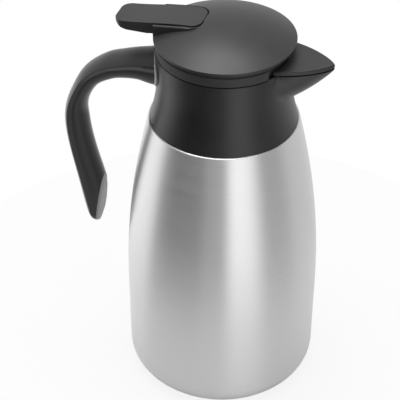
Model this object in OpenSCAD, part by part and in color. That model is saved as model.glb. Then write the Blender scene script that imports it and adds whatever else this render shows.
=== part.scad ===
/* [Steel body] */
// Radius of the straight lower part of the body
body_r = 69; // [62:0.5:76]
// Radius of the rounded bottom corner
corner_r = 15; // [8:0.5:20]
// Height where the body starts to taper
taper_z = 75; // [60:1:95]
// Radius of the long arc that draws the body in towards the collar
taper_arc_r = 558; // [480:1:800]
// Height of the top edge of the steel body
steel_top_z = 214; // [206:0.5:224]
// Thickness of the steel sheet
sheet_t = 0.8; // [0.6:0.05:1]
// Empty space between the two steel walls
vacuum_gap = 5; // [3.5:0.1:6.5]
// How far the steel neck stands in from the collar's outside
neck_in = 8; // [7.4:0.1:9]
// Length of the steel neck above the shoulder
neck_h = 12.9; // [11:0.1:16]
// Width of the flat ring that the carafe stands on
foot_w = 4; // [3:0.1:6]
// Height of the recess under the base
recess_h = 3.4; // [2.5:0.1:4]

/* [Collar] */
// How far the straight upper part of the collar stands in from the body's side
collar_in = 24; // [22:0.1:25.5]
// How far the foot of the collar stands in from the steel edge
collar_inset = 1.1; // [0.6:0.1:2]
// Height above the steel edge over which the collar flares
flare_h = 33.4; // [25:0.2:40]
// Height of the collar above the steel edge
collar_h = 50.7; // [47:0.1:56]
// Wall thickness of the plastic mouldings
wall = 2.4; // [1.8:0.1:2.8]
// Thickness of the gasket under the collar's deck
gasket_t = 1.4; // [1:0.1:2]
// Thickness of the deck that closes the collar around the mouth
deck_t = 2.6; // [2:0.1:3]
// Height of the threaded boss above the deck
boss_h = 6.6; // [5:0.1:8]

/* [Spout] */
// How far the spout tip stands out from the collar
spout_out = 28.2; // [24:0.2:34]
// Half width of the spout where it leaves the collar
spout_half_w = 21.5; // [19:0.5:24]
// Height of the spout's keel where it leaves the collar
keel_z = 243.6; // [242:0.1:249]
// Radius of the rounded keel at the collar
keel_r = 10; // [6:0.5:11]
// How far the keel sags below a straight line to the tip
keel_sag = 3; // [0:0.5:4]
// Thickness of the plate that covers the spout
cover_t = 2.8; // [2:0.1:3.2]
// Radius of the slot that the coffee leaves by, at the tip
pour_slot_r = 2.2; // [1.6:0.1:2.6]
// Height of the ring round the collar's rim
rim_h = 9.2; // [7:0.1:9.6]
// How far the rim ring stands proud of the collar
rim_proud = 0.4; // [0:0.1:0.8]
// Angle each side of the spout where the rim ring stops
rim_open_deg = 36; // [31:0.5:45]

/* [Handle] */
// Half width of the handle across its outer face
handle_half_w = 13; // [10:0.5:15]
// Share by which the handle narrows below its crease
handle_undercut = 0.24; // [0:0.01:0.35]
// How far the grip's centre line stands out from the body at its widest
handle_reach = 38.8; // [34:0.2:46]
// Half depth of the grip near its lower end
handle_depth = 10; // [8:0.1:11]
// Height of the tip of the handle
handle_tip_z = 100; // [90:1:110]
// Thickness of the grey cap let into the handle's cut end
end_cap_t = 1.2; // [0.8:0.1:2]
// Width of the tongue that joins the handle to the collar
tongue_w = 15; // [12:0.5:16]
// Height of that tongue
tongue_h = 9; // [7:0.1:10]
// Radius of the handle screws
handle_screw_r = 1.2; // [1:0.1:1.4]

/* [Stopper] */
// Gap between the stopper's barrel and the steel mouth
mouth_gap = 0.6; // [0.4:0.05:1]
// Height of the barrel below the collar's deck
barrel_h = 12.2; // [11:0.1:16]
// Wall thickness of the stopper's barrel
barrel_t = 2.6; // [2.2:0.1:3.2]
// Thickness of the stopper's top plate
plate_t = 3; // [2:0.1:4]
// Depth of the top plate below the collar's rim
plate_drop = 3.9; // [3:0.1:6]
// Number of windows that the coffee leaves the stopper by
windows = 6; // [4:1:8]
// Height of those windows
window_h = 10; // [7:0.1:11.5]
// Radius of the port in the bottom of the stopper
port_r = 11; // [8:0.2:14]
// Thickness of the cup that closes the stopper's bottom
cup_t = 3; // [2:0.1:3]
// Height of the seal ring round the barrel
seal_h = 3.4; // [2.5:0.1:4]

/* [Valve] */
// Radius of the valve stem
stem_r = 2.5; // [2:0.05:3]
// Radial clearance of a part that slides or turns in another
fit = 0.05; // [0.02:0.01:0.08]
// Gap left between parts that meet but move apart
rest_gap = 0.3; // [0.2:0.05:0.4]
// Radius of the valve's poppet
poppet_r = 14.5; // [13.5:0.1:17]
// Thickness of the poppet
poppet_t = 2.2; // [1.6:0.1:3]
// Thickness of the silicone washer under the poppet
washer_t = 1.5; // [1:0.1:2]
// Wire radius of the return spring
spring_wire_r = 0.4; // [0.3:0.05:0.6]
// Radius of the spring's coil, to the middle of the wire
spring_r = 4.4; // [3.8:0.1:5]
// Working turns of the spring
spring_turns = 6; // [4:1:7]

/* [Dome lid] */
// How far the dome's rim stands out past the collar
dome_over = 1.8; // [1:0.1:3]
// Rise of the dome from its rim to its crown
dome_rise = 11.5; // [10.5:0.1:13]
// Thickness of the dome's edge
dome_edge_h = 1.5; // [1:0.1:2.5]
// Gap between the dome's edge and the rim ring
dome_gap = 0.5; // [0.3:0.1:1]
// Thickness of the dome's skin
skin_t = 2.5; // [1.8:0.1:2.8]
// How far the saddle's walls stand below the lever's top
saddle_drop = 0.4; // [0:0.1:1.2]
// Thickness of the saddle's walls
saddle_t = 2.2; // [1.6:0.1:3]

/* [Thumb lever] */
// Half width of the lever at its front end
lever_half_w = 12.5; // [11:0.1:13]
// Half width of the lever at its thumb end
lever_back_half_w = 12; // [9:0.1:12.4]
// How far the thumb end stands out past the dome's rim
lever_out = 26.2; // [20:0.2:31]
// Distance of the front end from the axis
lever_front_x = 13.8; // [11:0.2:15]
// Gap all round the lever in its saddle
lever_gap = 0.5; // [0.3:0.05:0.8]
// Thickness of the lever at its thumb end
lever_t = 5.8; // [5.4:0.1:7]
// Corner radius of the lever's front end
lever_front_nose = 7.5; // [5:0.5:10]
// Corner radius of the lever's thumb end
lever_back_nose = 7; // [5:0.5:10]
// How far the lever's pin stands in from the dome's rim
pin_in = 8.8; // [8:0.1:10]
// Radius of the lever's pin
pin_r = 1.5; // [1.2:0.1:1.8]

/* [Hidden] */
$fn = 96;

// Radii that follow from the body's, and reaches that follow from those
foot_in_r = body_r - corner_r - foot_w;
collar_r = body_r - collar_in;
neck_r = collar_r - neck_in;
spout_reach = collar_r + spout_out;
dome_r = collar_r + dome_over;
lever_back_x = dome_r + lever_out;
pin_x = dome_r - pin_in;
handle_out = body_r + handle_reach;

// Heights that follow from one another, from the steel edge upwards
edge_roll = 0.6;
shoulder_z = steel_top_z + edge_roll;
shoulder_drop_h = 5.9;
neck_foot_z = shoulder_z + shoulder_drop_h;
neck_end_z = neck_foot_z + neck_h;
lip_z = neck_end_z + sheet_t;
deck_z = lip_z + gasket_t;
deck_top_z = deck_z + deck_t;
collar_top_z = shoulder_z + collar_h;
rim_top_z = collar_top_z + rim_h;
dome_z = rim_top_z + dome_gap;
dome_foot_z = dome_z + dome_edge_h;
dome_top_z = dome_foot_z + dome_rise;

// The outside of the steel body and the radii that follow from it
function body_at(z) =
    z < corner_r ? body_r - corner_r + sqrt(corner_r * corner_r - pow(corner_r - z, 2))
    : z < taper_z ? body_r
    : body_r - taper_arc_r + sqrt(taper_arc_r * taper_arc_r - pow(z - taper_z, 2));
steel_top_r = body_at(steel_top_z);
mouth_r = neck_r - 2 * sheet_t - 2.2;

// A flaring curve that joins the collar's foot to its straight top
collar_foot_r = steel_top_r - collar_inset;
function collar_at(z) =
    let (t = min(1, max(0, (z - shoulder_z) / flare_h)))
    collar_r + (collar_foot_r - collar_r) * pow(1 - t, 2);
collar_bore_r = collar_r - wall;

// Points of a line moved to its left, to give a sheet its second face
function unit(v) = v / norm(v);
function left_of(path, i) =
    let (d = unit(path[min(i + 1, len(path) - 1)] - path[max(i - 1, 0)]))
    [-d[1], d[0]];
function moved(path, t) = [for (i = [0 : len(path) - 1]) path[i] + t * left_of(path, i)];
function turned_back(path) = [for (i = [len(path) - 1 : -1 : 0]) path[i]];

module spun_sheet(path, t, sides = 144) {
    rotate_extrude($fn = sides) polygon(concat(path, turned_back(moved(path, t))));
}

module ring(r_in, r_out, z_low, z_high) {
    translate([0, 0, z_low]) rotate_extrude()
        translate([r_in, 0]) square([r_out - r_in, z_high - z_low]);
}

module rod(r, z_low, z_high) {
    translate([0, 0, z_low]) cylinder(r = r, h = z_high - z_low);
}

// Steel body

corner_steps = 8;
taper_steps = 26;
shell_path = concat(
    [[foot_in_r, 0]],
    [for (i = [0 : corner_steps])
        let (a = 90 * i / corner_steps)
        [body_r - corner_r + corner_r * sin(a), corner_r - corner_r * cos(a)]],
    [for (i = [0 : taper_steps])
        let (z = taper_z + (steel_top_z - taper_z) * i / taper_steps)
        [body_at(z), z]],
    [[steel_top_r - 0.2, steel_top_z + 0.4],
     [steel_top_r - 0.7, shoulder_z],
     [collar_r + 0.5, shoulder_z],
     [neck_r + 1.6, neck_foot_z - 2],
     [neck_r, neck_foot_z],
     [neck_r, neck_end_z]]);

module outer_shell() {
    color("silver") spun_sheet(shell_path, sheet_t);
}

liner_inset = sheet_t + vacuum_gap;
liner_z = recess_h + sheet_t + 4.4;
liner_corner_r = 12;
liner_r = body_r - liner_inset;
liner_neck_r = mouth_r + sheet_t;
liner_bend_z = steel_top_z - 18;
liner_bend_h = 20;
bend_steps = 10;
liner_path = concat(
    [[0, liner_z]],
    [for (i = [0 : corner_steps])
        let (a = 90 * i / corner_steps)
        [liner_r - liner_corner_r + liner_corner_r * sin(a),
         liner_z + liner_corner_r - liner_corner_r * cos(a)]],
    [for (i = [0 : taper_steps - 1])
        let (z = taper_z + (liner_bend_z - taper_z) * i / taper_steps)
        [body_at(z) - liner_inset, z]],
    [for (i = [0 : bend_steps])
        let (t = i / bend_steps, r = body_at(liner_bend_z) - liner_inset)
        [liner_neck_r + (r - liner_neck_r) * (1 + cos(180 * t)) / 2,
         liner_bend_z + liner_bend_h * t]],
    [[liner_neck_r, lip_z]]);

module inner_vessel() {
    color("gainsboro") union() {
        spun_sheet(liner_path, sheet_t);
        ring(mouth_r, neck_r, neck_end_z, lip_z);
    }
}

base_path = [
    [0, recess_h], [foot_in_r - 10, recess_h], [foot_in_r - 3, sheet_t],
    [body_r - corner_r - 1, sheet_t]];

module base_disc() {
    color("silver") spun_sheet(base_path, sheet_t);
}

seal_cap_r = 9;
seal_cap_t = 1.2;
module vacuum_seal_cap() {
    color("silver") rotate_extrude() polygon([
        [0, recess_h - seal_cap_t], [seal_cap_r - 1, recess_h - seal_cap_t],
        [seal_cap_r, recess_h - seal_cap_t + 0.6], [seal_cap_r, recess_h], [0, recess_h]]);
}

getter_r = 6;
getter_t = 3;
getter_x = 22;
module getter_tablet() {
    base_top_z = recess_h + sheet_t;
    color("dimgray") translate([getter_x, 0, 0]) rod(getter_r, base_top_z, base_top_z + getter_t);
}

// Spout, shared by the collar and its cover plate

spout_root_x = collar_r - 15;
spout_steps = 16;
function spout_half(x, reach, half_w) =
    let (t = min(1, max(0, (x - spout_root_x) / (reach - spout_root_x))))
    half_w * pow(1 - pow(t, 1.8), 0.75);
function spout_side(reach, half_w, side) =
    [for (i = [0 : spout_steps])
        let (t = i / spout_steps, x = spout_root_x + (reach - spout_root_x) * (1 - pow(1 - t, 1.7)))
        [x, side * spout_half(x, reach, half_w)]];
module spout_outline(inset) {
    reach = spout_reach - 1.6 * inset;
    half_w = spout_half_w - inset;
    polygon(concat(
        spout_side(reach, half_w, -1),
        [for (i = [spout_steps - 1 : -1 : 0]) spout_side(reach, half_w, 1)[i]]));
}

// A boat-shaped body under that outline, which runs down to the keel at the collar
module keel_ball(x, r, sag, inset) {
    slope = (collar_top_z - keel_z) / (spout_reach - collar_r);
    down = unit([slope, -1]);
    translate([x - r * down[0], 0, keel_z + slope * (x - collar_r) - r * down[1] - sag])
        sphere(r = r - inset, $fn = 32);
}
module spout_hull(inset, top_z) {
    mid_x = (collar_r + spout_reach) / 2;
    hull() {
        translate([0, 0, top_z - 1]) linear_extrude(1) spout_outline(inset);
        keel_ball(collar_r - 1, keel_r, 0, inset);
        keel_ball(mid_x, keel_r * 0.7, keel_sag, inset);
        keel_ball(spout_reach - 5, keel_r * 0.25, keel_sag / 3, inset / 3);
    }
}

// Collar

collar_steps = 16;
collar_wall = concat(
    [for (i = [0 : collar_steps])
        let (z = shoulder_z + flare_h * i / collar_steps)
        [collar_at(z), z]],
    [[collar_r, collar_top_z], [collar_bore_r, collar_top_z]],
    [for (i = [collar_steps : -1 : 0])
        let (z = shoulder_z + flare_h * i / collar_steps)
        [collar_at(z) - wall, z]]);

thread_gap = 0.3;
thread_r = mouth_r + 1.7;
boss_r = thread_r + thread_gap;
deck_hole_r = mouth_r + 0.4;
sleeve_r = neck_r + rest_gap;
sleeve_h = 11;
tongue_z = deck_top_z + 1.8;
tongue_in_x = -(sleeve_r + 1.5);
tongue_out_x = -(collar_r + 4);
socket_wall = 1.8;
screw_x = tongue_in_x - 2.2;
screw_y = tongue_w / 4;

module tongue(grow) {
    translate([tongue_out_x, -tongue_w / 2 - grow, tongue_z - grow])
        cube([tongue_in_x - tongue_out_x + grow, tongue_w + 2 * grow, tongue_h + 2 * grow]);
}

// Boss inside the collar that takes the tongue and keeps the coffee off its screws
module tongue_socket() {
    intersection() {
        translate([-collar_r, -tongue_w / 2 - socket_wall, deck_top_z - 0.5])
            cube([collar_r + tongue_in_x + socket_wall, tongue_w + 2 * socket_wall,
                tongue_z + tongue_h + socket_wall - deck_top_z + 0.5]);
        rod(collar_r - 0.5, deck_top_z - 1, collar_top_z);
    }
}

module collar() {
    color([0.16, 0.16, 0.17]) difference() {
        union() {
            rotate_extrude($fn = 144) polygon(collar_wall);
            difference() {
                spout_hull(0, collar_top_z);
                rod(collar_r - 1, keel_z - 20, collar_top_z + 1);
            }
            tongue_socket();
            ring(deck_hole_r, collar_at(deck_top_z) - wall + 0.4, deck_z, deck_top_z);
            ring(boss_r, boss_r + 2.2, deck_top_z - 0.5, deck_top_z + boss_h);
            ring(sleeve_r, sleeve_r + 2, deck_z - sleeve_h, deck_z + 0.5);
        }
        spout_hull(wall, collar_top_z + 1);
        translate([spout_reach - 14, 0, collar_top_z - 0.2])
            rotate([0, 90, 0]) cylinder(r = pour_slot_r, h = 20, $fn = 24);
        tongue(0.1);
        for (side = [-1, 1])
            translate([screw_x, side * screw_y, 0])
                rod(handle_screw_r + 0.03, deck_z - 1, tongue_z + 1);
    }
}

module collar_gasket() {
    color("gray") ring(deck_hole_r + 0.2, neck_r, lip_z, deck_z);
}

rim_in_r = collar_bore_r + 0.4;
rim_out_r = collar_r + rim_proud;
module rim_ring() {
    step_h = 2.6;
    color([0.2, 0.2, 0.21]) rotate([0, 0, rim_open_deg])
        rotate_extrude(angle = 360 - 2 * rim_open_deg) polygon([
            [rim_in_r, collar_top_z], [rim_out_r - 0.4, collar_top_z],
            [rim_out_r, collar_top_z + 0.4], [rim_out_r, rim_top_z - step_h],
            [rim_out_r - 0.8, rim_top_z - step_h + 0.5],
            [rim_out_r - 0.8, rim_top_z], [rim_in_r, rim_top_z]]);
}

module spout_cover() {
    bevel = 0.5;
    shadow_gap = 0.5;
    color([0.24, 0.24, 0.25]) difference() {
        union() {
            translate([0, 0, collar_top_z])
                linear_extrude(cover_t - bevel) spout_outline(shadow_gap);
            translate([0, 0, collar_top_z + shadow_gap])
                linear_extrude(cover_t - bevel - shadow_gap) spout_outline(0);
            translate([0, 0, collar_top_z + cover_t - bevel])
                linear_extrude(bevel) spout_outline(bevel);
        }
        rod(rim_in_r, collar_top_z - 1, collar_top_z + cover_t + 1);
        translate([spout_reach - 14, 0, collar_top_z - 0.2])
            rotate([0, 90, 0]) cylinder(r = pour_slot_r - 0.8, h = 20, $fn = 24);
    }
}

// Handle: a crowned grip swept along a hook that stays open at its lower end

root_z = deck_top_z + 6;
root_x = collar_r - 3;
// Centre line as shares of its reach, of its drop and of the grip's half depth
handle_way = [
    [0, 0, 1.36], [0.122, 0.006, 1.26], [0.274, 0.006, 1.02],
    [0.441, 0.015, 0.86], [0.593, 0.04, 0.79], [0.796, 0.104, 0.73],
    [0.924, 0.194, 0.74], [0.991, 0.284, 0.82], [1, 0.374, 0.9],
    [0.979, 0.479, 0.93], [0.924, 0.596, 0.96], [0.863, 0.714, 1],
    [0.809, 0.84, 1.02], [0.766, 0.924, 0.98], [0.736, 1, 0.86]];
handle_line = [for (w = handle_way)
    [root_x + w[0] * (handle_out - root_x), root_z - w[1] * (root_z - handle_tip_z),
        w[2] * handle_depth]];
handle_spans = len(handle_line) - 1;
span_steps = 3;
handle_rings = handle_spans * span_steps;
section_points = 28;
crease = 0.42;

function spline(a, b, c, d, t) =
    0.5 * (2 * b + (c - a) * t + (2 * a - 5 * b + 4 * c - d) * t * t
        + (3 * b - a - 3 * c + d) * t * t * t);
function line_at(k) =
    let (i = min(handle_spans - 1, floor(k / span_steps)), t = k / span_steps - i)
    spline(handle_line[max(0, i - 1)], handle_line[i], handle_line[i + 1],
        handle_line[min(handle_spans, i + 2)], t);
function line_dir(k) =
    let (d = line_at(min(handle_rings, k + 0.5)) - line_at(max(0, k - 0.5)))
    unit([d[0], d[1]]);
// Width grows towards the collar, and falls away below the crease and at the rounded tip
root_flare = 0.22;
root_rings = 7;
function root_share(k) = 1 + root_flare * pow(max(0, 1 - k / root_rings), 2);
function tip_share(k) =
    let (t = max(0, (k - handle_rings + 4) / 4)) sqrt(max(0.12, 1 - t * t));
function section_at(k, j, inset) =
    let (p = line_at(k), d = line_dir(k), a = 360 * j / section_points, s = sin(a),
        narrow = s > crease ? 1 : 1 - handle_undercut * min(1, (crease - s) / 0.5),
        share = tip_share(k),
        u = (handle_half_w * root_share(k) - inset) * cos(a) * narrow * share,
        v = (p[2] - inset) * s * share)
    [-(p[0] - d[1] * v), u, p[1] + d[0] * v];

module handle_sweep(inset) {
    n = section_points;
    points = [for (k = [0 : handle_rings], j = [0 : n - 1]) section_at(k, j, inset)];
    sides = [for (k = [0 : handle_rings - 1], j = [0 : n - 1])
        let (a = k * n + j, b = k * n + (j + 1) % n)
        each [[a, b, b + n], [a, b + n, a + n]]];
    first = [for (j = [1 : n - 2]) [0, j + 1, j]];
    last = [for (j = [1 : n - 2])
        let (o = handle_rings * n) [o, o + j, o + j + 1]];
    polyhedron(points, concat(sides, first, last));
}

cut_x = -(handle_out - 14.5);
cut_z = handle_tip_z + 25;
cut_lean = 8;
module beyond_cut(from, to) {
    translate([cut_x, 0, cut_z]) rotate([0, cut_lean, 0])
        translate([from, -2 * handle_half_w, -6 * handle_depth])
            cube([to - from, 4 * handle_half_w, 12 * handle_depth]);
}

// The collar's outside grown by t, as a solid
module collar_form(t) {
    rotate_extrude($fn = 144) polygon(concat(
        [[0, shoulder_z]],
        [for (i = [0 : collar_steps])
            let (z = shoulder_z + flare_h * i / collar_steps)
            [collar_at(z) + t, z]],
        [[collar_r + t, collar_top_z + 5], [0, collar_top_z + 5]]));
}

// A thin oval pad that spreads the handle's root over the collar
pad_t = 1.3;
pad_z = root_z + 7.5;
pad_half_w = 25.5;
pad_half_h = 16.5;
module root_pad() {
    intersection() {
        collar_form(pad_t);
        translate([-collar_r - 8, 0, pad_z]) rotate([0, 90, 0])
            linear_extrude(30) scale([pad_half_h, pad_half_w]) circle(r = 1, $fn = 72);
        rod(collar_r + 8, shoulder_z, collar_top_z - 0.4);
    }
}

module handle() {
    color([0.18, 0.18, 0.19]) difference() {
        union() {
            difference() {
                union() {
                    handle_sweep(0);
                    root_pad();
                }
                collar_form(0);
            }
            tongue(0);
        }
        beyond_cut(0, 6 * handle_depth);
        intersection() {
            handle_sweep(0.9);
            beyond_cut(-end_cap_t, 1);
        }
        for (side = [-1, 1])
            translate([screw_x, side * screw_y, 0])
                rod(handle_screw_r + 0.03, tongue_z - 1, tongue_z + tongue_h - 1.5);
    }
}

module handle_end_cap() {
    color([0.6, 0.6, 0.61]) intersection() {
        handle_sweep(1);
        beyond_cut(-end_cap_t, 0);
    }
}

module handle_screws() {
    head_r = handle_screw_r + 0.6;
    head_h = 1.4;
    color("lightgray") for (side = [-1, 1]) translate([screw_x, side * screw_y, 0]) union() {
        rod(handle_screw_r, deck_z - head_h, tongue_z + tongue_h - 2);
        rod(head_r, deck_z - head_h, deck_z);
    }
}

// Stopper

barrel_r = mouth_r - mouth_gap;
barrel_in_r = barrel_r - barrel_t;
barrel_z = deck_z - barrel_h + 2.6;
groove_z = barrel_z + 2.4;
groove_r = barrel_r - 1.1;
step_z = deck_top_z + 0.6;
plate_top_z = collar_top_z - plate_drop;
plate_z = plate_top_z - plate_t;
plate_r = collar_bore_r - 0.4;
guide_r = 6;
guide_down = 6.4;
guide_up = 2.6;
wall_in_r = thread_r - 3;

window_w = 2 * PI * thread_r / windows * 0.6;
spigot_h = 1.2;
module stopper_barrel() {
    color([0.2, 0.2, 0.21]) difference() {
        rotate_extrude() polygon([
            [barrel_in_r, barrel_z], [barrel_r, barrel_z], [barrel_r, groove_z],
            [groove_r, groove_z], [groove_r, groove_z + seal_h + 0.2],
            [barrel_r, groove_z + seal_h + 0.2], [barrel_r, step_z],
            [thread_r, step_z], [thread_r, plate_z],
            [wall_in_r, plate_z], [wall_in_r, step_z + 1.5], [barrel_in_r, step_z - 1]]);
        for (i = [0 : windows - 1]) rotate([0, 0, 360 * i / windows])
            translate([wall_in_r - 4, -window_w / 2, plate_z - spigot_h - window_h])
                cube([12, window_w, window_h]);
    }
}

module stopper_plate() {
    color([0.2, 0.2, 0.21]) difference() {
        rotate_extrude() polygon([
            [wall_in_r - fit, plate_z], [plate_r, plate_z],
            [plate_r, plate_z + 0.9], [plate_r - 1.2, plate_z + 0.9],
            [plate_r - 1.2, plate_z + 2.1], [plate_r, plate_z + 2.1],
            [plate_r, plate_top_z], [guide_r, plate_top_z], [guide_r, plate_top_z + guide_up],
            [stem_r + fit, plate_top_z + guide_up], [stem_r + fit, plate_z - guide_down],
            [guide_r, plate_z - guide_down], [guide_r, plate_z],
            [wall_in_r - 2, plate_z], [wall_in_r - 2, plate_z - spigot_h],
            [wall_in_r - fit, plate_z - spigot_h]]);
        for (a = lid_screw_angles) rotate([0, 0, a]) translate([lid_screw_x, 0, 0])
            rod(lid_screw_r + 0.1, plate_z - 1, plate_top_z + 1);
    }
}

module stopper_cup() {
    color([0.2, 0.2, 0.21]) rotate_extrude() polygon([
        [port_r, barrel_z - cup_t + 1], [port_r + 1, barrel_z - cup_t],
        [barrel_r - 1, barrel_z - cup_t], [barrel_r, barrel_z - cup_t + 1],
        [barrel_r, barrel_z], [barrel_in_r - 0.05, barrel_z],
        [barrel_in_r - 0.05, barrel_z + 2.4], [barrel_in_r - 1.6, barrel_z + 2.4],
        [barrel_in_r - 1.6, barrel_z], [port_r + 2.2, barrel_z],
        [port_r + 1.4, seat_z], [port_r, seat_z]]);
}
seat_z = barrel_z + 1;

module neck_seal() {
    in_r = groove_r + fit;
    lip_r = mouth_r - rest_gap;
    low = groove_z + 0.1;
    high = low + seal_h;
    color("dimgray") rotate_extrude() polygon([
        [in_r, low], [barrel_r - 0.2, low], [lip_r, low + 0.5], [lip_r, low + 1],
        [barrel_r - 0.3, low + 1.4], [barrel_r - 0.3, low + 2], [lip_r, high - 1],
        [lip_r, high - 0.5], [barrel_r - 0.2, high], [in_r, high]]);
}

module top_gasket() {
    color("dimgray") ring(plate_r - 1.15, plate_r + 0.1, plate_z + 0.95, plate_z + 2.05);
}

// Valve: a poppet on a stem, pushed down on to the cup's seat by the spring

washer_z = seat_z + rest_gap;
poppet_z = washer_z + washer_t;
poppet_top_z = poppet_z + poppet_t;
hub_r = 4.2;
clip_z = poppet_top_z + 2;
clip_t = 1;
stem_foot_z = poppet_z - 1;
fork_top_z = plate_top_z + 11.1;
lift_pin_r = 1.5;
lift_pin_z = fork_top_z + rest_gap + lift_pin_r;
stem_top_z = lift_pin_z + 2.4;

module valve_poppet() {
    color([0.2, 0.2, 0.21]) rotate_extrude() polygon([
        [0, washer_z], [hub_r, washer_z], [hub_r, poppet_z], [poppet_r - 0.6, poppet_z],
        [poppet_r, poppet_z + 0.6], [poppet_r, poppet_top_z - 0.8],
        [poppet_r - 1, poppet_top_z], [hub_r + 0.8, poppet_top_z], [hub_r, clip_z],
        [stem_r + 0.03, clip_z], [stem_r + 0.03, stem_foot_z], [0, stem_foot_z]]);
}

module poppet_washer() {
    color("dimgray") ring(hub_r + 0.02, poppet_r - 1, washer_z, poppet_z);
}

module valve_stem() {
    color("lightgray") difference() {
        union() {
            rod(stem_r, stem_foot_z, stem_top_z - 0.8);
            translate([0, 0, stem_top_z - 0.8])
                cylinder(r1 = stem_r, r2 = stem_r - 0.8, h = 0.8);
        }
        translate([0, 10, lift_pin_z]) rotate([90, 0, 0])
            cylinder(r = lift_pin_r + 0.02, h = 20);
    }
}

module spring_clip() {
    color("lightgray") ring(stem_r + 0.02, spring_r + spring_wire_r + 0.3, clip_z, clip_z + clip_t);
}

lift_pin_half = 6.4;
module lift_pin() {
    color("lightgray") translate([0, lift_pin_half, lift_pin_z]) rotate([90, 0, 0])
        cylinder(r = lift_pin_r, h = 2 * lift_pin_half);
}

// One unbroken wire: a closed turn at each end and open turns between
spring_low = clip_z + clip_t + spring_wire_r + 0.1;
spring_high = plate_z - guide_down - spring_wire_r - 0.1;
turn_steps = 20;
wire_sides = 6;
end_climb = 2.3 * spring_wire_r;
spring_total = spring_turns + 2;
function wire_z(turn) =
    turn < 1 ? spring_low + end_climb * turn
    : turn > spring_total - 1 ? spring_high - end_climb * (spring_total - turn)
    : spring_low + end_climb
        + (spring_high - spring_low - 2 * end_climb) * (turn - 1) / spring_turns;

module return_spring() {
    rings = spring_total * turn_steps;
    n = wire_sides;
    points = [for (k = [0 : rings], j = [0 : n - 1])
        let (turn = k / turn_steps, a = 360 * turn, b = 360 * j / n,
            r = spring_r + spring_wire_r * cos(b))
        [r * cos(a), r * sin(a), wire_z(turn) + spring_wire_r * sin(b)]];
    sides = [for (k = [0 : rings - 1], j = [0 : n - 1])
        let (a = k * n + j, b = k * n + (j + 1) % n)
        each [[a, b + n, b], [a, a + n, b + n]]];
    first = [for (j = [1 : n - 2]) [0, j, j + 1]];
    last = [for (j = [1 : n - 2]) let (o = rings * n) [o, o + j + 1, o + j]];
    color("lightgray") polyhedron(points, concat(sides, first, last));
}

// Dome lid

dome_ball_r = (dome_r * dome_r + dome_rise * dome_rise) / (2 * dome_rise);
dome_ball_z = dome_top_z - dome_ball_r;
skirt_r = plate_r - 0.2;
skirt_t = 2.4;
lever_slot = lever_half_w + lever_gap;
saddle_half = lever_slot + saddle_t;
pin_z = dome_z + 2.6;
pocket_z = dome_z - 2.2;
lid_screw_r = 1.4;
lid_screw_depth = 3 * plate_t;
lid_screw_room = 0.2;
lid_screw_x = (plate_r + thread_r) / 2;
lid_screw_angles = [0, 100, -100];
post_r = 3.4;

module dome_solid(inset) {
    intersection() {
        rod(dome_r - inset, dome_z - 1, dome_top_z + 1);
        translate([0, 0, dome_ball_z]) sphere(r = dome_ball_r - inset, $fn = 240);
    }
}

// Plan of the lever's pocket or saddle: square at the back, round at the front
module pocket_plan(half_w, front_x, back_x, nose_r) {
    hull() {
        for (side = [-1, 1])
            translate([-front_x - nose_r, side * (half_w - nose_r)]) circle(r = nose_r, $fn = 48);
        translate([-back_x, -half_w]) square([1, 2 * half_w]);
    }
}

saddle_round = 1.3;
module saddle_block() {
    intersection() {
        translate([0, 0, dome_z]) linear_extrude(20)
            pocket_plan(saddle_half, lever_front_x - 2, dome_r + 4, 11);
        rod(dome_r, dome_z, dome_top_z + 5);
        translate([0, saddle_half + 1, 0]) rotate([90, 0, 0])
            linear_extrude(2 * saddle_half + 2) lever_side(saddle_drop, dome_z, 1);
        hull() {
            lowest = 2 * saddle_round;
            translate([-dome_r, 0, 0]) saddle_section(lever_top(dome_r) - saddle_drop, lowest);
            translate([-dome_r / 2, 0, 0]) saddle_section(lever_top(dome_r / 2) - saddle_drop, lowest);
            saddle_section(lever_front_z - saddle_drop, lowest);
        }
    }
}

// Slice of the saddle with rounded upper corners
module saddle_section(top_z, lowest) {
    translate([0, 0, dome_z]) rotate([90, 0, 90]) linear_extrude(0.1) hull() {
        translate([-saddle_half, 0]) square([2 * saddle_half, lowest]);
        for (side = [-1, 1])
            translate([side * (saddle_half - saddle_round), top_z - dome_z - saddle_round])
                circle(r = saddle_round, $fn = 24);
    }
}

// Side view of the lever's top, shared with the saddle round it
lever_front_z = dome_top_z - 0.9;
lever_back_z = dome_z + 7.1;
function lever_top(x) =
    let (t = min(1, max(0, (lever_back_x - x) / (lever_back_x - lever_front_x - 3))))
    lever_back_z + (lever_front_z - lever_back_z) * (0.5 - 0.5 * cos(180 * pow(t, 0.93)));
lever_top_steps = 14;
module lever_side(drop, low_z, past) {
    front_x = lever_front_x - past;
    polygon(concat(
        [for (i = [0 : lever_top_steps])
            let (x = lever_back_x - (lever_back_x - front_x) * i / lever_top_steps)
            [-x, lever_top(x) - drop]],
        [[-front_x + past, low_z], [-lever_back_x, low_z]]));
}

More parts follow.
